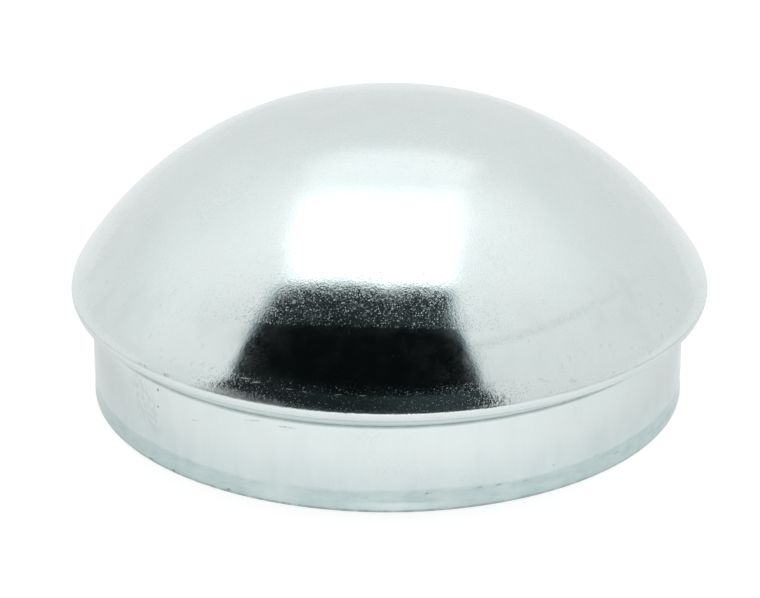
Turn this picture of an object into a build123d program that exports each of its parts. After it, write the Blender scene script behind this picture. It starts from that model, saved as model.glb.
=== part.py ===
from build123d import *
from math import cos, radians, sin
import os

# Domed cap for the top of a round fence post.
#
# The cap is one drawn cup of galvanised sheet steel.  A straight round skirt
# slides over the outside of the post.  Above the skirt the same sheet is
# turned out in a short sloping shelf, folded back over itself in a tight rim
# bead that stands proud of the skirt all round, and closed over in a low
# dome.  Nothing is welded, riveted or hinged to it.
#
# The whole cap is a body of revolution about Z.  Z = 0 is the plane of the
# open mouth, +Z runs up to the crown.  Every length is in millimetres.

# ---- driving dimensions ----------------------------------------------------
POST_OD = 60.33          # outside diameter of the round post
SOCKET_CLEARANCE = 0.335 # radial gap between post and skirt
SHEET_T = 1.0            # wall thickness, the same everywhere

SKIRT_R_IN = POST_OD / 2 + SOCKET_CLEARANCE   # 30.5
SKIRT_R_OUT = SKIRT_R_IN + SHEET_T            # 31.5

RIM_R = 33.86            # radius of the cap at the rim bead, its widest circle
RIM_Z = 12.06            # height of that widest circle
SHELF_SLOPE = 56.0       # outward normal of the shelf, degrees below level
CREASE_RAD = 0.30        # tight fold between the skirt and the shelf
RIM_LOWER_RAD = 1.40     # rim bead, from the shelf to the widest circle
RIM_UPPER_RAD = 1.15     # rim bead, above the widest circle, up to RIM_END
RIM_END = 12.0
HEEL_RAD = 4.7           # soft bend from the bead into the dome, to HEEL_END
HEEL_END = 32.7
FLANK_RAD = 38.7         # dome: long flank, to FLANK_END
FLANK_END = 62.2
SHOULDER_RAD = 22.5      # dome: shoulder, to SHOULDER_END
SHOULDER_END = 74.0      # above this the crown is a sphere centred on Z

LIP_RAD_OUT = 0.35       # rounded outer edge of the sheet at the mouth
LIP_RAD_IN = 0.15        # broken inner edge of the sheet at the mouth

# The *_END and SLOPE angles are the elevation of the outer face's normal.


def on_circle(centre, radius, angle):
    """Point of a circle in the R-Z half plane, angle in degrees."""
    return (centre[0] + radius * cos(radians(angle)),
            centre[1] + radius * sin(radians(angle)))


def next_centre(centre, radius, angle, new_radius):
    """Centre of an arc that carries on tangent from this one at that angle."""
    joint = on_circle(centre, radius, angle)
    return (joint[0] - new_radius * cos(radians(angle)),
            joint[1] - new_radius * sin(radians(angle)))


# ---- centres of the tangent arcs -------------------------------------------
c_rim = (RIM_R - RIM_LOWER_RAD, RIM_Z)
c_rim_up = (RIM_R - RIM_UPPER_RAD, RIM_Z)
c_heel = next_centre(c_rim_up, RIM_UPPER_RAD, RIM_END, HEEL_RAD)
c_flank = next_centre(c_heel, HEEL_RAD, HEEL_END, FLANK_RAD)
c_shoulder = next_centre(c_flank, FLANK_RAD, FLANK_END, SHOULDER_RAD)
crown_joint = on_circle(c_shoulder, SHOULDER_RAD, SHOULDER_END)
CROWN_RAD = crown_joint[0] / cos(radians(SHOULDER_END))
c_crown = (0.0, crown_joint[1] - CROWN_RAD * sin(radians(SHOULDER_END)))
CROWN_Z = c_crown[1] + CROWN_RAD

# The shelf is straight.  It starts where the lower rim arc ends and runs in
# and down until the crease arc, which lies in the air outside, takes over.
shelf_top = on_circle(c_rim, RIM_LOWER_RAD, -SHELF_SLOPE)
normal = (cos(radians(SHELF_SLOPE)), -sin(radians(SHELF_SLOPE)))
run = (-sin(radians(SHELF_SLOPE)), -cos(radians(SHELF_SLOPE)))
along = (SKIRT_R_OUT + CREASE_RAD - shelf_top[0] - CREASE_RAD * normal[0]) / run[0]
c_crease = (SKIRT_R_OUT + CREASE_RAD,
            shelf_top[1] + along * run[1] + CREASE_RAD * normal[1])

# Above the shelf, from the rim to the crown: (centre, radius, from, to).
dome_arcs = [
    (c_rim, RIM_LOWER_RAD, -SHELF_SLOPE, 0.0),
    (c_rim_up, RIM_UPPER_RAD, 0.0, RIM_END),
    (c_heel, HEEL_RAD, RIM_END, HEEL_END),
    (c_flank, FLANK_RAD, HEEL_END, FLANK_END),
    (c_shoulder, SHOULDER_RAD, FLANK_END, SHOULDER_END),
    (c_crown, CROWN_RAD, SHOULDER_END, 90.0),
]
dome_arcs_inside = [(c, r - SHEET_T, a, b) for c, r, a, b in dome_arcs]
crease_arc = (c_crease, CREASE_RAD, 180.0, 180.0 - SHELF_SLOPE)
crease_arc_inside = (c_crease, CREASE_RAD + SHEET_T, 180.0, 180.0 - SHELF_SLOPE)


def three_points(arc):
    centre, radius, a, b = arc
    return (on_circle(centre, radius, a),
            on_circle(centre, radius, (a + b) / 2),
            on_circle(centre, radius, b))


def first(arc):
    return three_points(arc)[0]


def last(arc):
    return three_points(arc)[2]


# ---- cap shell: one sheet, revolved ----------------------------------------
with BuildPart() as cap_shell:
    with BuildSketch(Plane.XZ) as section:
        with BuildLine() as outline:
            # outer wall of the skirt, crease and shelf
            Line((SKIRT_R_OUT, LIP_RAD_OUT), first(crease_arc))
            ThreePointArc(*three_points(crease_arc))
            Line(last(crease_arc), first(dome_arcs[0]))
            # rim bead and dome, outside
            for arc in dome_arcs:
                ThreePointArc(*three_points(arc))
            # through the sheet at the crown, on the axis
            Line((0, CROWN_Z), (0, CROWN_Z - SHEET_T))
            # dome and rim bead, inside
            for arc in reversed(dome_arcs_inside):
                ThreePointArc(*reversed(three_points(arc)))
            # inside of the shelf and crease
            Line(first(dome_arcs_inside[0]), last(crease_arc_inside))
            ThreePointArc(*reversed(three_points(crease_arc_inside)))
            # socket wall, which guides the post
            Line(first(crease_arc_inside), (SKIRT_R_IN, LIP_RAD_IN))
            # edge of the sheet at the mouth
            ThreePointArc((SKIRT_R_IN, LIP_RAD_IN),
                          on_circle((SKIRT_R_IN + LIP_RAD_IN, LIP_RAD_IN), LIP_RAD_IN, 225),
                          (SKIRT_R_IN + LIP_RAD_IN, 0))
            Line((SKIRT_R_IN + LIP_RAD_IN, 0), (SKIRT_R_OUT - LIP_RAD_OUT, 0))
            ThreePointArc((SKIRT_R_OUT - LIP_RAD_OUT, 0),
                          on_circle((SKIRT_R_OUT - LIP_RAD_OUT, LIP_RAD_OUT), LIP_RAD_OUT, 315),
                          (SKIRT_R_OUT, LIP_RAD_OUT))
        make_face()
    revolve(axis=Axis.Z)

cap_shell.part.label = "cap_shell"

print(f"socket wall r {SKIRT_R_IN:.3f} from z {LIP_RAD_IN:.2f} to {c_crease[1]:.3f}")
print(f"crown radius {CROWN_RAD:.2f}, overall height {CROWN_Z:.3f}")

os.makedirs("parts", exist_ok=True)
export_step(cap_shell.part, "parts/cap_shell.step")
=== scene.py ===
import math

import bpy
import numpy as np
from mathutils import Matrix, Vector


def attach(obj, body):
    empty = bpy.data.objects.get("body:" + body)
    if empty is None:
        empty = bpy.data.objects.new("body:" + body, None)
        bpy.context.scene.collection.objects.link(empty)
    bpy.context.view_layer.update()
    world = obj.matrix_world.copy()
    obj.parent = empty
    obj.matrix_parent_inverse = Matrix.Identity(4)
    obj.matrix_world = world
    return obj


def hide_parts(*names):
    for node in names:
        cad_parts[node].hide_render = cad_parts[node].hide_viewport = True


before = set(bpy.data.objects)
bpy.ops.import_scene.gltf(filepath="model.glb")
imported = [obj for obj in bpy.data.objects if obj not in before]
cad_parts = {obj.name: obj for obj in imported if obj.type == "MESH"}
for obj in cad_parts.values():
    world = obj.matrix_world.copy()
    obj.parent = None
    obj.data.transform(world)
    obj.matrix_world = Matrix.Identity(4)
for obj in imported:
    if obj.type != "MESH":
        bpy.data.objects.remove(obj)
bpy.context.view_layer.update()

# ---------------------------------------------------------------------------
# Section of the pressed sheet, in millimetres (same numbers as the CAD model)
# ---------------------------------------------------------------------------
SHEET = 1.0
SKIRT_OUT = 31.5
RIM_R, RIM_Z = 33.86, 12.06
SHELF, CREASE = 56.0, 0.30
RIM_LOW, RIM_UP, RIM_END = 1.40, 1.15, 12.0
HEEL, HEEL_END = 4.7, 32.7
FLANK, FLANK_END = 38.7, 62.2
SHOULDER, SHOULDER_END = 22.5, 74.0
LIP_OUT, LIP_IN = 0.35, 0.15


def on(c, r, a):
    a = math.radians(a)
    return (c[0] + r * math.cos(a), c[1] + r * math.sin(a))


def next_centre(c, r, a, new_r):
    q = on(c, r, a)
    return on(q, -new_r, a)


c_rim = (RIM_R - RIM_LOW, RIM_Z)
c_rim_up = (RIM_R - RIM_UP, RIM_Z)
c_heel = next_centre(c_rim_up, RIM_UP, RIM_END, HEEL)
c_flank = next_centre(c_heel, HEEL, HEEL_END, FLANK)
c_shoulder = next_centre(c_flank, FLANK, FLANK_END, SHOULDER)
joint = on(c_shoulder, SHOULDER, SHOULDER_END)
CROWN = joint[0] / math.cos(math.radians(SHOULDER_END))
c_crown = (0.0, joint[1] - CROWN * math.sin(math.radians(SHOULDER_END)))
shelf_top = on(c_rim, RIM_LOW, -SHELF)
nrm = (math.cos(math.radians(SHELF)), -math.sin(math.radians(SHELF)))
run = (-math.sin(math.radians(SHELF)), -math.cos(math.radians(SHELF)))
along = (SKIRT_OUT + CREASE - shelf_top[0] - CREASE * nrm[0]) / run[0]
c_crease = (SKIRT_OUT + CREASE, shelf_top[1] + along * run[1] + CREASE * nrm[1])

# (centre, radius, from, to, steps)
ARCS = [(c_rim, RIM_LOW, -SHELF, 0.0, 20), (c_rim_up, RIM_UP, 0.0, RIM_END, 5), (c_heel, HEEL, RIM_END, HEEL_END, 12),
        (c_flank, FLANK, HEEL_END, FLANK_END, 60), (c_shoulder, SHOULDER, FLANK_END, SHOULDER_END, 18),
        (c_crown, CROWN, SHOULDER_END, 90.0, 44)]


def smooth(e0, e1, x):
    t = np.clip((np.asarray(x, float) - e0) / (e1 - e0), 0, 1)
    return t * t * (3 - 2 * t)


def wall_profile(inner):
    """Outer or inner face of the sheet from the mouth to the crown: arrays of r, z."""
    pts = []
    base = SKIRT_OUT - (SHEET if inner else 0.0)
    lip = LIP_IN if inner else LIP_OUT
    sgn = -1.0 if inner else 1.0
    # rounded edge at the mouth, from the flat of the edge up to the wall
    c = (base - sgn * lip, lip)
    for a in np.linspace(-90.0, 0.0, 9):
        pts.append((c[0] + sgn * lip * math.cos(math.radians(a)), c[1] + lip * math.sin(math.radians(a))))
    for z in np.linspace(lip, c_crease[1], 40 if inner else 84)[1:]:
        pts.append((base, z))
    rad = CREASE + (SHEET if inner else 0.0)
    for a in np.linspace(180.0, 180.0 - SHELF, 10)[1:]:
        pts.append(on(c_crease, rad, a))
    a0, a1 = pts[-1], on(c_rim, RIM_LOW - (SHEET if inner else 0.0), -SHELF)
    for k in range(1, 9):
        f = k / 9.0
        pts.append((a0[0] + (a1[0] - a0[0]) * f, a0[1] + (a1[1] - a0[1]) * f))
    for i, (cc, rad, b0, b1, n) in enumerate(ARCS):
        r = rad - (SHEET if inner else 0.0)
        m = n if not inner else max(4, n // 2)
        for a in np.linspace(b0, b1, m + 1)[0 if i == 0 else 1:]:
            pts.append(on(cc, r, a))
    pts = np.array(pts)
    pts[-1, 0] = 0.0
    return pts[:, 0], pts[:, 1]


SEG = 640
rng = np.random.default_rng(20240611)


def lobes(ang, amps):
    s = np.zeros_like(ang)
    for k, (a, ph) in amps.items():
        s += a * np.cos(k * ang - ph)
    return s


def build_shell():
    ro, zo = wall_profile(False)
    ri, zi = wall_profile(True)
    ang = np.arange(SEG) * 2 * math.pi / SEG
    # one closed loop: outer mouth edge -> crown, then inner crown -> mouth edge
    rings, poles = [], []
    verts = []

    def ring(r, z, outer):
        """One ring of points, with the small departures a pressing really has."""
        rad = np.full(SEG, r)
        hgt = np.full(SEG, z)
        # slightly out of round, least at the mouth where the die sized it
        w = smooth(2.0, 12.0, z) * 0.7 + 0.3
        rad = rad + w * lobes(ang, {2: (0.020, 0.6), 3: (0.014, 2.1), 5: (0.006, 4.0)}) * smooth(0.0, 12.0, r)
        hgt = hgt + smooth(6.0, 12.0, z) * lobes(ang, {2: (0.018, 1.1), 3: (0.014, 3.3)}) * smooth(4.0, 30.0, r)
        # the fold into the skirt runs a little lower, most on the left
        hgt = hgt - (0.11 - 0.15 * np.cos(ang)) * np.exp(-((z - 9.75) / 0.75) ** 2)
        # the dome sits a little off the skirt's axis
        off = 0.20 * smooth(8.5, 12.5, z) - 0.25 * smooth(26.0, 31.0, z)
        if outer:
            # the last turn of the skirt was ironed by the trimming die: a shallow
            # waist, then the edge stands out again by a few hundredths
            band = (smooth(2.75, 2.15, z) - smooth(1.35, 0.75, z)) * -0.045
            edge = smooth(1.25, 0.50, z) * 0.045
            front = np.exp(-(((ang + math.pi / 2 + math.pi) % (2 * math.pi) - math.pi) / 0.16) ** 2)
            side = 0.20 + 0.20 * np.cos(3 * ang + 0.5) ** 2
            rad = rad + band * (1 + 0.25 * np.cos(3 * ang + 0.5)) + edge * np.clip(front + side, 0, 1)
        return rad * np.cos(ang) + off, rad * np.sin(ang), hgt

    def add_ring(r, z, outer):
        i = len(verts)
        verts.extend(zip(*ring(r, z, outer)))
        rings.append(i)

    for r, z in zip(ro[:-1], zo[:-1]):
        add_ring(r, z, True)
    n_outer = len(rings)
    pole_out = len(verts)
    verts.append((0.2 - 0.25 * float(smooth(26.0, 31.0, zo[-1])), 0.0, zo[-1]))
    for r, z in zip(ri[:-1][::-1], zi[:-1][::-1]):
        add_ring(r, z, False)
    pole_in = len(verts)
    verts.append((0.2 - 0.25 * float(smooth(26.0, 31.0, zi[-1])), 0.0, zi[-1]))

    faces = []

    def strip(a, b, flip=False):
        for k in range(SEG):
            k1 = (k + 1) % SEG
            f = (a + k, a + k1, b + k1, b + k)
            faces.append(f[::-1] if flip else f)

    for j in range(n_outer - 1):
        strip(rings[j], rings[j + 1])
    last = rings[n_outer - 1]
    for k in range(SEG):
        faces.append((last + k, last + (k + 1) % SEG, pole_out))
    first_in = rings[n_outer]
    for k in range(SEG):
        faces.append((first_in + (k + 1) % SEG, first_in + k, pole_in))
    for j in range(n_outer, len(rings) - 1):
        strip(rings[j], rings[j + 1])
    # flat of the sheet edge at the mouth closes the loop
    strip(rings[-1], rings[0])

    co = np.array(verts) * 0.001
    me = bpy.data.meshes.new("cap_sheet")
    me.from_pydata(co.tolist(), [], faces)
    me.validate()
    me.update()
    for poly in me.polygons:
        poly.use_smooth = True
    ob = bpy.data.objects.new("cap_sheet", me)
    bpy.context.scene.collection.objects.link(ob)
    return ob


cap = build_shell()


# ---------------------------------------------------------------------------
# Node helpers
# ---------------------------------------------------------------------------
class Tree:
    def __init__(self, tree):
        self.t = tree
        self.t.nodes.clear()

    def new(self, kind, **sets):
        n = self.t.nodes.new(kind)
        for k, v in sets.items():
            setattr(n, k, v)
        return n

    def link(self, a, b):
        self.t.links.new(a, b)

    def put(self, sock, v):
        if isinstance(v, bpy.types.NodeSocket):
            self.link(v, sock)
        else:
            sock.default_value = v

    def math(self, op, a, b=None, c=None, clamp=False):
        n = self.new("ShaderNodeMath", operation=op, use_clamp=clamp)
        for i, v in enumerate((a, b, c)):
            if v is not None:
                self.put(n.inputs[i], v)
        return n.outputs[0]

    def ramp(self, v, lo, hi, a=0.0, b=1.0):
        """a below lo, b above hi, smooth between."""
        n = self.new("ShaderNodeMapRange", interpolation_type="SMOOTHSTEP")
        self.put(n.inputs["Value"], v)
        self.put(n.inputs["From Min"], lo)
        self.put(n.inputs["From Max"], hi)
        self.put(n.inputs["To Min"], a)
        self.put(n.inputs["To Max"], b)
        return n.outputs[0]

    def mix(self, f, a, b):
        n = self.new("ShaderNodeMix", data_type="RGBA")
        self.put(n.inputs["Factor"], f)
        self.put(n.inputs[6], a)
        self.put(n.inputs[7], b)
        return n.outputs[2]

    def fmix(self, f, a, b):
        n = self.new("ShaderNodeMix", data_type="FLOAT")
        self.put(n.inputs["Factor"], f)
        self.put(n.inputs[2], a)
        self.put(n.inputs[3], b)
        return n.outputs[0]

    def noise(self, vec, scale, detail=2.0, rough=0.5, distort=0.0, out="Fac", dims="3D", w=0.0):
        n = self.new("ShaderNodeTexNoise", noise_dimensions=dims)
        self.link(vec, n.inputs["Vector"])
        n.inputs["Scale"].default_value = scale
        n.inputs["Detail"].default_value = detail
        n.inputs["Roughness"].default_value = rough
        n.inputs["Distortion"].default_value = distort
        if dims == "4D":
            n.inputs["W"].default_value = w
        return n.outputs[0 if out == "Fac" else 1]

    def xyz(self, vec):
        n = self.new("ShaderNodeSeparateXYZ")
        self.link(vec, n.inputs[0])
        return n.outputs

    def vec(self, x, y, z):
        n = self.new("ShaderNodeCombineXYZ")
        for i, v in enumerate((x, y, z)):
            self.put(n.inputs[i], v)
        return n.outputs[0]


# ---------------------------------------------------------------------------
# Galvanised, semi-bright sheet
# ---------------------------------------------------------------------------
class Surface:
    """Coordinates in millimetres that the marks on the sheet are placed with."""

    def __init__(self, t):
        self.t = t
        tc = t.new("ShaderNodeTexCoord")
        mm = t.new("ShaderNodeVectorMath", operation="SCALE")
        t.link(tc.outputs["Object"], mm.inputs[0])
        mm.inputs["Scale"].default_value = 1000.0
        self.pos = mm.outputs[0]
        self.x, self.y, self.z = t.xyz(self.pos)
        self.r = t.math("SQRT", t.math("ADD", t.math("MULTIPLY", self.x, self.x), t.math("MULTIPLY", self.y, self.y)))
        rs = t.math("MAXIMUM", self.r, 0.5)
        self.ux, self.uy = t.math("DIVIDE", self.x, rs), t.math("DIVIDE", self.y, rs)
        # angle in degrees from the middle of the front (-Y), growing towards +X
        self.deg = t.math("MULTIPLY", t.math("ARCTAN2", self.x, t.math("MULTIPLY", self.y, -1.0)), 180.0 / math.pi)
        # outside only: the inner face lies a sheet thickness further in
        self.skirt = t.math("MULTIPLY", t.ramp(self.z, 9.35, 9.75, 1.0, 0.0), t.ramp(self.r, 31.0, 31.2))

    def cyl(self, around, up, big=31.5):
        """Vector for noise: 'around' and 'up' scale the two directions, no seam."""
        t = self.t
        return t.vec(t.math("MULTIPLY", self.ux, big * around), t.math("MULTIPLY", self.uy, big * around),
                     t.math("MULTIPLY", self.z, up))

    def spot(self, deg, z, half_w, half_h, tilt=0.0, soft=0.5, big=31.5):
        """Elliptical mark at an angle and a height, sizes in mm, tilt = mm up per mm around."""
        t = self.t
        du = t.math("MULTIPLY", t.math("SUBTRACT", self.deg, deg), big * math.pi / 180.0)
        dv = t.math("SUBTRACT", t.math("SUBTRACT", self.z, z), t.math("MULTIPLY", du, tilt))
        du = t.math("DIVIDE", du, half_w)
        dv = t.math("DIVIDE", dv, half_h)
        d = t.math("SQRT", t.math("ADD", t.math("MULTIPLY", du, du), t.math("MULTIPLY", dv, dv)))
        return t.ramp(d, 1.0 - soft, 1.0 + soft, 1.0, 0.0)

    def bump1(self, deg0, width):
        """Smooth hump along the angle."""
        t = self.t
        d = t.math("DIVIDE", t.math("SUBTRACT", self.deg, deg0), width)
        return t.math("EXPONENT", t.math("MULTIPLY", t.math("MULTIPLY", d, d), -1.0))


def zinc_material():
    mat = bpy.data.materials.new("galvanised_sheet")
    mat.use_nodes = True
    t = Tree(mat.node_tree)
    out = t.new("ShaderNodeOutputMaterial")
    bsdf = t.new("ShaderNodeBsdfPrincipled")
    t.link(bsdf.outputs[0], out.inputs[0])
    S = Surface(t)
    pos, x, y, z, r = S.pos, S.x, S.y, S.z, S.r

    def mul(*v):
        p = v[0]
        for q in v[1:]:
            p = t.math("MULTIPLY", p, q)
        return p

    def top(*v):
        p = v[0]
        for q in v[1:]:
            p = t.math("MAXIMUM", p, q)
        return p

    def voronoi(vec, scale, rand=1.0):
        n = t.new("ShaderNodeTexVoronoi", feature="F1", distance="EUCLIDEAN", voronoi_dimensions="3D")
        t.link(vec, n.inputs["Vector"])
        n.inputs["Scale"].default_value = scale
        n.inputs["Randomness"].default_value = rand
        sep = t.new("ShaderNodeSeparateColor")
        t.link(n.outputs["Color"], sep.inputs[0])
        return n.outputs["Distance"], sep.outputs

    # ---- colour: zinc grey, faintly green-blue, clouded ----
    cloud = t.noise(pos, 0.085, 3.0, 0.55)
    hue = t.noise(pos, 0.16, 4.0, 0.62, 0.4)
    blot = t.noise(pos, 0.42, 4.0, 0.62, 0.6)
    col = t.mix(t.ramp(cloud, 0.34, 0.66), (0.696, 0.771, 0.764, 1), (0.718, 0.793, 0.786, 1))
    col = t.mix(t.ramp(hue, 0.46, 0.60, 0.0, 0.55), col, (0.722, 0.777, 0.771, 1))
    col = t.mix(t.ramp(blot, 0.50, 0.72, 0.0, 0.20), col, (0.637, 0.734, 0.726, 1))

    # ---- darkening: 0 clean .. 1 dark grey-green ----
    # smears down the flank, left by the die
    smear_n = t.noise(S.cyl(0.24, 0.16), 1.0, 3.0, 0.55)
    flank = mul(t.ramp(z, 12.6, 14.5), t.ramp(z, 18.5, 22.0, 1.0, 0.0))
    smear = mul(t.ramp(smear_n, 0.46, 0.70), flank, 0.060)
    # faint streaks down the skirt
    draw_n = t.noise(S.cyl(0.40, 0.10), 1.0, 3.0, 0.6)
    draw = mul(t.ramp(draw_n, 0.40, 0.66), S.skirt, 0.028)
    # worm-like stains in patches
    worm_n = t.noise(pos, 1.9, 2.0, 0.5, 0.8)
    worm = t.ramp(t.math("ABSOLUTE", t.math("SUBTRACT", worm_n, 0.5)), 0.0, 0.035, 1.0, 0.0)
    where = t.ramp(t.noise(pos, 0.17, 2.0, 0.5, 0.0, dims="4D", w=3.1), 0.50, 0.66)
    where = top(where, mul(S.spot(-4.0, 5.4, 2.6, 2.3, 0.0, 0.6), S.skirt, 0.45))
    worm = mul(worm, where, 0.11)
    # small dark dots, thicker low on the flank
    warp = t.new("ShaderNodeVectorMath", operation="ADD")
    t.link(pos, warp.inputs[0])
    t.link(t.noise(pos, 2.2, 2.0, 0.6, out="Color"), warp.inputs[1])
    vd, vc = voronoi(warp.outputs[0], 0.95)
    dot_r = t.math("MULTIPLY", vc[1], 0.13)
    dots = mul(t.ramp(t.math("SUBTRACT", vd, dot_r), 0.0, 0.28, 1.0, 0.0), t.ramp(vc[0], 0.45, 0.85))
    low = t.fmix(t.ramp(z, 18.0, 21.0, 1.0, 0.0), 0.02, 0.085)
    right_low = t.fmix(mul(t.ramp(x, 5.0, 11.0), t.ramp(z, 17.6, 19.0, 1.0, 0.0)), 1.0, 1.6)
    dots = mul(dots, low, right_low, t.ramp(z, 11.8, 12.8))
    dark = top(smear, draw, worm, dots)
    t_dark = dark

    # a rub mark across the right of the dome, made of many small dots
    path = t.math("ADD", t.math("MULTIPLY", t.ramp(S.deg, 10.0, 52.0), 1.10), 17.40)
    near = t.math("ABSOLUTE", t.math("SUBTRACT", z, path))
    fuzz = t.noise(pos, 3.3, 2.0, 0.7)
    rub = mul(t.ramp(near, 0.05, 0.62, 1.0, 0.0), t.ramp(S.deg, 13.0, 19.0), t.ramp(S.deg, 30.0, 72.0, 1.0, 0.0),
              t.ramp(fuzz, 0.34, 0.64, 0.25, 1.0), t.ramp(r, 26.0, 27.0))
    dark = top(dark, mul(rub, 0.15))

    # painted shade in the fold under the dome and on the shelf under the rim, and a thin dark line on the rim itself
    zf = t.math("ADD", z, t.math("SUBTRACT", 0.11, t.math("MULTIPLY", S.ux, 0.15)))
    dc = t.math("SQRT", t.math("ADD", t.math("POWER", t.math("SUBTRACT", r, 31.59), 2.0),
                               t.math("POWER", t.math("SUBTRACT", zf, 9.66), 2.0)))
    crease_shade_noise = t.noise(S.cyl(0.5, 0.5), 1.0, 3.0, 0.6)
    # painted shade: a dark line along the fold, uneven in strength
    painted_crease_shade = mul(t.ramp(dc, 0.06, 0.30, 1.0, 0.0), t.ramp(r, 31.2, 31.35),
                t.ramp(crease_shade_noise, 0.30, 0.60, 0.75, 1.0), 0.50)
    # painted shade: the shelf under the rim darker towards the fold, less on the right
    shelf = mul(t.ramp(r, 31.65, 33.0, 0.40, 0.0), t.ramp(z, 10.9, 11.2, 1.0, 0.0), t.ramp(z, 9.35, 9.60),
                t.ramp(r, 31.45, 31.60), t.ramp(S.deg, 14.0, 34.0, 1.0, 0.6))
    rim_n = t.noise(S.cyl(0.35, 0.9), 1.0, 4.0, 0.7)
    rim_line = mul(t.ramp(t.math("ABSOLUTE", t.math("SUBTRACT", z, 12.22)), 0.02, 0.22, 1.0, 0.0),
                   t.ramp(r, 33.2, 33.4), t.ramp(rim_n, 0.34, 0.62, 0.45, 1.0), 0.22)
    dark = top(dark, painted_crease_shade, shelf, rim_line)

    # the ironed ring at the mouth: darker, with a broken upper edge; the darkness is partly the ironed zinc and
    # partly painted shade, the reflection of the shaded floor at the foot
    ring_n = t.noise(S.cyl(0.10, 0.3), 1.0, 2.0, 0.5)
    ring_z = t.math("ADD", t.math("MULTIPLY", ring_n, 0.9), 1.95)
    ring = t.math("SUBTRACT", z, ring_z)
    ring = t.ramp(ring, -0.30, 0.26, 1.0, 0.0)
    gap = t.math("SUBTRACT", 1.0, top(mul(S.bump1(-20.5, 3.2), 0.9), mul(S.bump1(96.0, 4.0), 0.8), mul(S.bump1(-131.0, 5.0), 0.9)))
    ring = mul(ring, t.ramp(r, 31.0, 31.2), gap)
    # the last few tenths above the cut edge: darker, partly the burr and partly painted shade, the reflection of the
    # floor's contact shadow, most at the front
    lip_n = t.noise(S.cyl(0.8, 0.6), 1.0, 3.0, 0.65)
    lip = mul(t.ramp(z, 0.22, 0.52, 1.0, 0.0), t.ramp(r, 31.0, 31.2), t.ramp(lip_n, 0.30, 0.62, 0.25, 1.0),
              t.math("ADD", mul(S.bump1(-14.0, 38.0), 0.16), 0.36))
    dark = top(dark, lip)

    # single marks: on the skirt, on its ring, on the rim
    marks = top(
        S.spot(-47.9, 8.75, 0.17, 0.15, 0.0, 0.5), S.spot(-48.0, 6.85, 0.16, 0.15, 0.0, 0.5),
        mul(S.spot(-25.2, 8.85, 0.85, 0.08, 0.18, 0.6), 0.5), mul(S.spot(-18.5, 8.76, 0.85, 0.09, 0.02, 0.5), 0.85),
        mul(S.spot(-38.1, 7.08, 0.45, 0.09, 0.22, 0.6), 0.45),
        mul(S.spot(7.4, 2.11, 0.42, 0.09, 0.02, 0.6), 0.8), mul(S.spot(16.9, 2.23, 0.40, 0.11, -0.03, 0.6), 0.7),
        mul(S.spot(20.8, 2.21, 0.35, 0.09, 0.05, 0.6), 0.75), mul(S.spot(32.2, 3.06, 0.22, 0.09, 0.05, 0.6), 0.6),
        mul(S.spot(26.2, 2.06, 0.30, 0.08, -0.05, 0.6), 0.5), mul(S.spot(48.3, 1.60, 0.40, 0.10, 0.0, 0.6), 0.45),
        mul(S.spot(42.5, 2.45, 0.30, 0.14, 0.05, 0.7), 0.5),
        mul(S.spot(-30.6, 0.34, 0.30, 0.24, 0.0, 0.6), 1.0), mul(S.spot(-43.9, 0.36, 0.22, 0.20, 0.0, 0.6), 0.9),
        mul(S.spot(-50.5, 0.40, 0.50, 0.16, 0.0, 0.7), 0.8), mul(S.spot(26.0, 0.30, 0.7, 0.16, 0.0, 0.7), 0.7),
        mul(S.spot(121.0, 1.60, 0.50, 0.12, 0.08, 0.6), 0.7), mul(S.spot(158.0, 5.20, 0.20, 0.18, 0.0, 0.6), 0.8),
        mul(S.spot(-112.0, 6.90, 0.90, 0.09, 0.05, 0.6), 0.6), mul(S.spot(78.0, 7.70, 0.60, 0.10, -0.05, 0.6), 0.5),
    )
    marks = mul(marks, t.ramp(r, 31.0, 31.2), t.ramp(t.noise(pos, 2.8, 2.0, 0.6), 0.38, 0.58, 0.35, 1.0))
    nicks = top(
        mul(S.spot(-47.2, 12.30, 0.75, 0.16, 0.0, 0.7, 33.8), 0.75), mul(S.spot(-41.3, 12.35, 0.42, 0.20, 0.0, 0.7, 33.8), 0.75),
        mul(S.spot(33.1, 13.1, 0.45, 0.20, -0.3, 0.9, 33.8), 0.42), mul(S.spot(27.6, 13.8, 0.60, 0.14, -0.4, 0.9, 33.8), 0.36),
        mul(S.spot(103.0, 12.20, 0.60, 0.15, 0.0, 0.7, 33.8), 0.6), mul(S.spot(-150.0, 12.40, 0.50, 0.18, 0.0, 0.7, 33.8), 0.6),
    )
    nicks = mul(nicks, t.ramp(r, 33.0, 33.2), t.ramp(fuzz, 0.38, 0.60, 0.25, 1.0))
    dark = top(dark, mul(marks, 0.62), mul(nicks, 0.60))

    # chatter: short parallel scratches that run down to the right
    def chatter(deg, zc, w, h, pitch, tilt):
        u = mul(t.math("SUBTRACT", S.deg, deg), 31.5 * math.pi / 180.0)
        v = t.math("ADD", t.math("SUBTRACT", z, zc), mul(u, tilt))
        wob = t.noise(pos, 0.9, 2.0, 0.5)
        v = t.math("ADD", v, mul(wob, 0.25))
        st = t.math("SINE", mul(v, 2 * math.pi / pitch))
        run_ = t.math("SUBTRACT", u, t.math("SUBTRACT", z, zc))
        brk = t.ramp(t.noise(t.vec(mul(run_, 0.70), mul(v, 2.6), 0.0), 1.0, 1.0, 0.5), 0.43, 0.53)
        return mul(t.ramp(st, 0.35, 0.95), brk, S.spot(deg, zc, w, h, -tilt * 0.8, 0.4), S.skirt)

    chat = chatter(-52.0, 6.5, 2.5, 2.3, 0.36, 1.05)
    dark = top(dark, mul(chat, 0.46))

    ring_c = t.noise(S.cyl(0.45, 1.3), 1.0, 4.0, 0.65)
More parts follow.
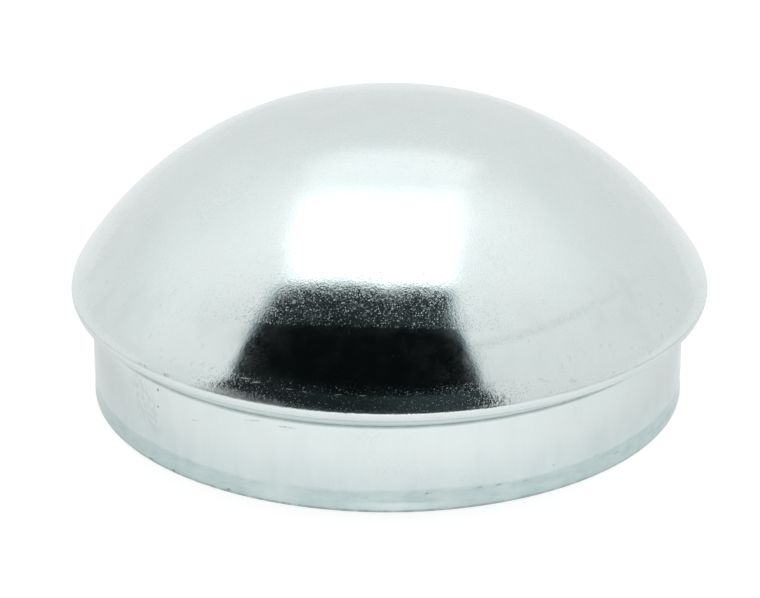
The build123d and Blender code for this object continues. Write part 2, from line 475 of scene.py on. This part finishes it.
    # painted highlight: a bright streak at the very front, the reflection of the brighter floor further out; and
    # painted shade, the reflection of the shaded floor near the foot, that thins out up the skirt
    front_highlight = mul(S.bump1(2.0, 7.0), t.ramp(z, 1.00, 1.25, 1.0, 0.0), t.ramp(z, 0.25, 0.45))
    ring_m = mul(ring, t.ramp(ring_c, 0.30, 0.70, 0.10, 0.23), t.math("SUBTRACT", 1.0, mul(front_highlight, 0.9)))
    foot_shade_reflection = mul(t.ramp(z, 1.8, 7.2, 0.095, 0.0), t.ramp(r, 31.0, 31.2), t.ramp(draw_n, 0.30, 0.70, 0.75, 1.15),
               t.math("SUBTRACT", 1.0, mul(front_highlight, 0.9)))
    col = t.mix(t.math("ADD", ring_m, foot_shade_reflection), col, (0.03, 0.25, 0.25, 1))
    col = t.mix(dark, col, (0.085, 0.155, 0.152, 1))

    # raw steel and a little zinc on the cut edge
    cut = mul(t.ramp(z, 0.02, 0.10, 1.0, 0.0))
    cut_n = t.noise(S.cyl(2.0, 2.0), 1.0, 3.0, 0.6)
    col = t.mix(mul(cut, t.ramp(cut_n, 0.35, 0.65, 0.45, 0.9)), col, (0.40, 0.41, 0.42, 1))
    bsdf.inputs["Metallic"].default_value = 1.0

    # ---- roughness ----
    rough = t.fmix(t.ramp(t.noise(pos, 0.5, 3.0, 0.6), 0.35, 0.65), 0.070, 0.110)
    # fine bright points: tiny rough pits, thick on the crown and again near the rim
    # the coarser skin ends along a slanting line on the front and runs lower elsewhere
    zb = t.math("ADD", t.math("ADD", t.math("MULTIPLY", y, -0.4358), t.math("MULTIPLY", x, -0.0341)), 6.539)
    zb = t.math("SUBTRACT", z, t.math("MAXIMUM", zb, 16.8))
    upper, lower = t.ramp(zb, -0.12, 0.16), mul(t.ramp(z, 14.0, 14.9, 1.0, 0.0), t.ramp(z, 12.1, 12.5))
    grain_z = t.math("ADD", mul(t.math("ADD", upper, lower), 0.86), 0.16)
    pd, pc = voronoi(pos, 5.8)
    pit_r = t.math("MULTIPLY", pc[1], 0.37)
    pit = mul(t.ramp(t.math("SUBTRACT", pd, pit_r), 0.0, 0.20, 1.0, 0.0), t.ramp(pc[0], 0.05, 0.45))
    pit = mul(pit, grain_z)
    rough = t.fmix(pit, rough, t.math("ADD", t.math("MULTIPLY", pc[2], 0.20), 0.19))
    # a few larger ones anywhere on the dome
    sd, sc = voronoi(pos, 1.6)
    few = mul(t.ramp(sd, 0.05, 0.17, 1.0, 0.0), t.ramp(sc[0], 0.50, 0.80), t.ramp(z, 12.8, 13.6))
    rough = t.fmix(mul(few, 0.55), rough, 0.30)
    frost = t.noise(pos, 3.4, 3.0, 0.7)
    rough = t.math("ADD", rough, mul(t.ramp(frost, 0.46, 0.66), grain_z, 0.10))
    col = t.mix(mul(pit, t.math("ADD", mul(S.bump1(-4.0, 20.0), 0.40), 0.04)), col, (0.50, 0.79, 0.80, 1))
    t.link(col, bsdf.inputs["Base Color"])
    # short scratches that catch light low on the front
    dash = top(
        S.spot(-23.0, 13.95, 0.42, 0.05, 0.10, 0.5, 33.0), S.spot(-25.2, 14.10, 0.55, 0.04, 0.05, 0.5, 33.0),
        S.spot(-17.0, 13.82, 0.40, 0.05, 0.02, 0.5, 33.0), S.spot(-8.4, 13.76, 0.42, 0.05, 0.12, 0.5, 33.0),
        S.spot(-4.2, 13.80, 0.42, 0.05, 0.05, 0.5, 33.0), S.spot(-14.2, 13.75, 0.25, 0.06, 0.0, 0.5, 33.0),
        S.spot(140.0, 15.10, 0.60, 0.05, 0.15, 0.5, 32.0), S.spot(-95.0, 16.30, 0.70, 0.05, -0.10, 0.5, 31.5),
    )
    dash = mul(dash, t.ramp(r, 31.0, 31.2))
    rough = t.fmix(dash, rough, 0.42)
    # the rim is rubbed dull on the left of the front
    rough = t.math("ADD", rough, mul(S.spot(-24.0, 12.45, 5.6, 0.55, 0.0, 0.6, 33.8), t.ramp(r, 33.0, 33.2), 0.16))
    rough = t.math("ADD", rough, mul(dark, 0.30))
    rough = t.fmix(cut, rough, 0.38)
    t.link(rough, bsdf.inputs["Roughness"])

    # ---- bump, heights in micrometres ----
    g1 = t.noise(pos, 4.6, 2.0, 0.6)                       # zinc grain
    g2 = t.noise(pos, 0.55, 2.0, 0.5)                      # orange peel
    rim_w = mul(t.ramp(z, 11.2, 11.8), t.ramp(z, 12.9, 13.6, 1.0, 0.0), t.ramp(r, 32.8, 33.1))
    g3 = t.noise(S.cyl(1.1, 0.7), 1.0, 3.0, 0.6)           # unevenness of the fold
    h = mul(g1, t.math("ADD", mul(grain_z, 3.6), 1.6))
    h = t.math("ADD", h, mul(g2, 5.5))
    h = t.math("ADD", h, mul(g3, rim_w, 14.0))
    g4 = t.noise(pos, 2.4, 2.0, 0.6)
    h = t.math("ADD", h, mul(g4, rim_w, 20.0))
    h = t.math("SUBTRACT", h, mul(pit, 0.7))
    # circular tool lines on the skirt, finest on the ironed ring
    lines = t.noise(S.cyl(0.06, 5.5), 1.0, 2.0, 0.6)
    h = t.math("ADD", h, mul(lines, S.skirt, 1.1))
    h = t.math("SUBTRACT", h, mul(t.math("ADD", chat, marks), 4.0))
    b1 = t.new("ShaderNodeBump")
    b1.inputs["Strength"].default_value = 1.0
    b1.inputs["Distance"].default_value = 0.000001
    t.link(h, b1.inputs["Height"])
    t.link(b1.outputs[0], bsdf.inputs["Normal"])
    return mat


zinc = zinc_material()
cap.data.materials.append(zinc)
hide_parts("cap_shell")
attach(cap, "root")


# ---------------------------------------------------------------------------
# Floor
# ---------------------------------------------------------------------------
def make_floor():
    n = 96
    rings = [0.0, 0.05, 0.1, 0.2, 0.4, 0.8, 1.6, 3.2, 6.4]
    verts = [(0, 0, 0)]
    faces = []
    for r in rings[1:]:
        for k in range(n):
            a = 2 * math.pi * k / n
            verts.append((r * math.cos(a), r * math.sin(a), 0))
    for k in range(n):
        faces.append((0, 1 + k, 1 + (k + 1) % n))
    for j in range(len(rings) - 2):
        a, b = 1 + j * n, 1 + (j + 1) * n
        for k in range(n):
            k1 = (k + 1) % n
            faces.append((a + k, b + k, b + k1, a + k1))
    me = bpy.data.meshes.new("floor")
    me.from_pydata(verts, [], faces)
    ob = bpy.data.objects.new("floor", me)
    bpy.context.scene.collection.objects.link(ob)
    ob.location.z = -0.00005
    mat = bpy.data.materials.new("floor_white")
    mat.use_nodes = True
    t = Tree(mat.node_tree)
    out = t.new("ShaderNodeOutputMaterial")
    b = t.new("ShaderNodeBsdfPrincipled")
    t.link(b.outputs[0], out.inputs[0])
    b.inputs["Roughness"].default_value = 0.9
    b.inputs["Specular IOR Level"].default_value = 0.0
    # white acrylic, lit from above and glowing as if lit from below; for everything but the camera the glow is
    # painted light with a pool of light in front
    lp = t.new("ShaderNodeLightPath")
    seen = lp.outputs["Is Camera Ray"]
    x, y, z = t.xyz(t.new("ShaderNodeTexCoord").outputs["Object"])
    u, v = t.math("DIVIDE", x, 0.075), t.math("DIVIDE", t.math("ADD", y, 0.050), 0.060)
    d = t.math("ADD", t.math("MULTIPLY", u, u), t.math("MULTIPLY", v, v))
    pool = t.math("ADD", t.math("MULTIPLY", t.math("EXPONENT", t.math("MULTIPLY", d, -1.0)), 0.24), 0.27)
    # painted shade: a few centimetres in front of the object, in the tent's opening, the floor is painted nearly
    # black for everything but the camera, as if the sheet ended there
    far = t.math("SQRT", t.math("ADD", t.math("MULTIPLY", x, x), t.math("MULTIPLY", y, y)))
    # beside and behind the object the foot lies in its shade, further out it doesn't
    aside = t.ramp(y, -0.030, 0.004)
    shade = t.math("MULTIPLY", aside, t.ramp(far, 0.036, 0.048, 0.38, 0.0))
    pool = t.math("MULTIPLY", pool, t.math("SUBTRACT", 1.0, shade))
    pool = t.math("ADD", pool, t.math("MULTIPLY", aside, t.ramp(far, 0.050, 0.080, 0.0, 0.07)))
    az = t.math("MULTIPLY", t.math("ARCTAN2", x, t.math("MULTIPLY", y, -1.0)), 180.0 / math.pi)
    # painted shade: the wedge in front, past about 63 to 74 mm, where the floor is painted nearly black
    beyond = t.math("MULTIPLY", t.ramp(far, 0.063, 0.074),
                    t.math("MULTIPLY", t.ramp(az, -60.0, -47.0), t.ramp(az, 27.0, 38.0, 1.0, 0.0)))
    grey = t.fmix(seen, t.fmix(beyond, 0.70, 0.04), 0.34)
    t.link(t.vec(grey, grey, grey), b.inputs["Base Color"])
    # painted light: the floor glows brighter in a narrow ring around the foot, for everything but the camera
    foot = t.math("DIVIDE", t.math("SUBTRACT", far, 0.0325), 0.0045)
    foot = t.math("EXPONENT", t.math("MULTIPLY", t.math("MULTIPLY", foot, foot), -1.0))
    pool = t.math("ADD", pool, t.math("MULTIPLY", foot, 0.15))
    # painted highlight: a brighter band just inside the edge of the painted black, strongest in the middle of the
    # front
    brim = t.math("DIVIDE", t.math("SUBTRACT", far, 0.0605), 0.0055)
    brim = t.math("EXPONENT", t.math("MULTIPLY", t.math("MULTIPLY", brim, brim), -1.0))
    mid = t.math("DIVIDE", t.math("SUBTRACT", az, 4.0), 20.0)
    mid = t.math("EXPONENT", t.math("MULTIPLY", t.math("MULTIPLY", mid, mid), -1.0))
    pool = t.math("ADD", pool, t.math("MULTIPLY", t.math("MULTIPLY", brim, mid), 0.28))
    pool = t.math("MULTIPLY", pool, t.math("SUBTRACT", 1.0, t.math("MULTIPLY", beyond, 0.93)))
    b.inputs["Emission Color"].default_value = (1, 1, 1, 1)
    t.link(t.fmix(seen, pool, 0.85), b.inputs["Emission Strength"])
    me.materials.append(mat)
    return ob


floor = make_floor()


# ---------------------------------------------------------------------------
# Light: a white tent, a soft box overhead, and the tent's open front
# ---------------------------------------------------------------------------
def make_world():
    w = bpy.data.worlds.new("tent")
    bpy.context.scene.world = w
    w.use_nodes = True
    t = Tree(w.node_tree)
    out = t.new("ShaderNodeOutputWorld")
    bg = t.new("ShaderNodeBackground")
    t.link(bg.outputs[0], out.inputs[0])
    tc = t.new("ShaderNodeTexCoord")
    d = tc.outputs["Generated"]
    x, y, z = t.xyz(d)
    zc = t.math("MAXIMUM", z, 0.02)
    # where the direction meets a ceiling at height 1
    cx, cy = t.math("DIVIDE", x, zc), t.math("DIVIDE", y, zc)

    def lin(a, b, c):
        """a * cx + b * cy + c"""
        return t.math("ADD", t.math("ADD", t.math("MULTIPLY", cx, a), t.math("MULTIPLY", cy, b)), c)

    # the front edge of the ceiling: leans on the left, nearly straight on the right
    lean = t.math("ADD", t.math("ADD", cy, t.math("MULTIPLY", t.math("MINIMUM", cx, 0.0), 0.22)),
                  t.math("MULTIPLY", t.math("MAXIMUM", cx, 0.0), -0.10))

    def glow(ax, ay, sx, sy):
        u = t.math("DIVIDE", t.math("SUBTRACT", cx, ax), sx)
        v = t.math("DIVIDE", t.math("SUBTRACT", cy, ay), sy)
        e = t.math("ADD", t.math("MULTIPLY", u, u), t.math("MULTIPLY", v, v))
        return t.math("EXPONENT", t.math("MULTIPLY", e, -1.0))

    def mul(*v):
        p = v[0]
        for q in v[1:]:
            p = t.math("MULTIPLY", p, q)
        return p

    # tent walls: nearly even, brighter overhead and beside the soft box
    zp = t.math("MAXIMUM", z, 0.0)
    tent = t.math("ADD", t.math("MULTIPLY", t.math("MULTIPLY", zp, zp), 0.109), 0.878)
    tent = t.math("ADD", tent, t.math("MULTIPLY", x, -0.012))
    tent = t.math("ADD", tent, t.math("MULTIPLY", glow(-1.39, 0.58, 1.37, 0.81), 0.087))
    tent = t.math("ADD", tent, t.math("MULTIPLY", glow(0.17, 0.21, 0.85, 0.49), 0.189))

    # soft box: its left side leans in towards the back, and it fades backwards
    sb = mul(t.ramp(lin(1.0, -0.20, 0.0), -0.57, -0.37),
             t.ramp(cx, 0.24, 0.38, 1.0, 0.0),
             t.ramp(lean, -0.305, -0.245),
             t.ramp(cy, 1.05, 1.28, 1.0, 0.0))
    sb_lum = t.fmix(t.ramp(cy, 0.12, 0.72), 1.85, 1.20)

    # the open front: between two white side walls whose edges run away from
    # the object towards the camera
    edge_l = t.math("MINIMUM", t.math("ADD", t.math("MULTIPLY", cy, 1.43), -0.37),
                    t.math("ADD", t.math("MULTIPLY", cy, 1.85), -0.05))
    in_l = t.ramp(t.math("SUBTRACT", cx, edge_l), -0.06, 0.06)
    edge_r = t.math("MAXIMUM", t.math("ADD", t.math("MULTIPLY", cy, -0.73), 0.04),
                    t.math("ADD", t.math("MULTIPLY", cy, -0.78), -0.02))
    edge_r = t.math("MAXIMUM", edge_r, t.math("ADD", t.math("MULTIPLY", cy, -0.25), 0.255))
    in_r = t.ramp(t.math("SUBTRACT", edge_r, cx), -0.05, 0.05)
    in_f = t.ramp(lean, -0.305, -0.245, 1.0, 0.0)
    front = mul(in_l, in_r, in_f)
    deep = t.ramp(lin(0.146, 1.0, 0.0), -0.535, -0.500, 1.0, 0.0)
    near = t.ramp(z, 0.56, 0.66, 1.0, 0.0)

    lum = t.fmix(sb, tent, sb_lum)
    dark = t.fmix(deep, t.ramp(cx, -0.5, 0.4, 0.025, 0.031), 0.0038)
    dark = t.fmix(near, dark, t.ramp(x, -0.25, 0.25, 0.018, 0.042))
    lum = t.fmix(front, lum, dark)
    lp = t.new("ShaderNodeLightPath")
    lum = t.fmix(lp.outputs["Is Camera Ray"], lum, 1.03)
    t.link(lum, bg.inputs["Strength"])
    t.link(t.mix(front, (1, 1, 1, 1), (0.70, 1.0, 1.06, 1)), bg.inputs["Color"])


make_world()

# ---------------------------------------------------------------------------
# Camera
# ---------------------------------------------------------------------------
ELEV = math.radians(23.55)
DIST = 0.3753
FOCAL_PX = 3508.0
TARGET = Vector((0, 0, 0.010719))
cam_data = bpy.data.cameras.new("camera")
cam = bpy.data.objects.new("camera", cam_data)
bpy.context.scene.collection.objects.link(cam)
cam_data.sensor_width = 36.0
cam_data.lens = FOCAL_PX * 36.0 / 760.0
back = Vector((0, -math.cos(ELEV), math.sin(ELEV)))
right_v = Vector((1, 0, 0))
up_v = right_v.cross(-back)
cam.location = TARGET + back * DIST
aim = TARGET + right_v * (-(387.2 - 379.5) / FOCAL_PX * DIST) + up_v * (-(298.5 - 288.85) / FOCAL_PX * DIST)
cam.rotation_euler = (aim - cam.location).to_track_quat("-Z", "Y").to_euler()
cam_data.clip_start, cam_data.clip_end = 0.01, 50.0
bpy.context.scene.camera = cam
bpy.context.scene.view_settings.view_transform = "Standard"
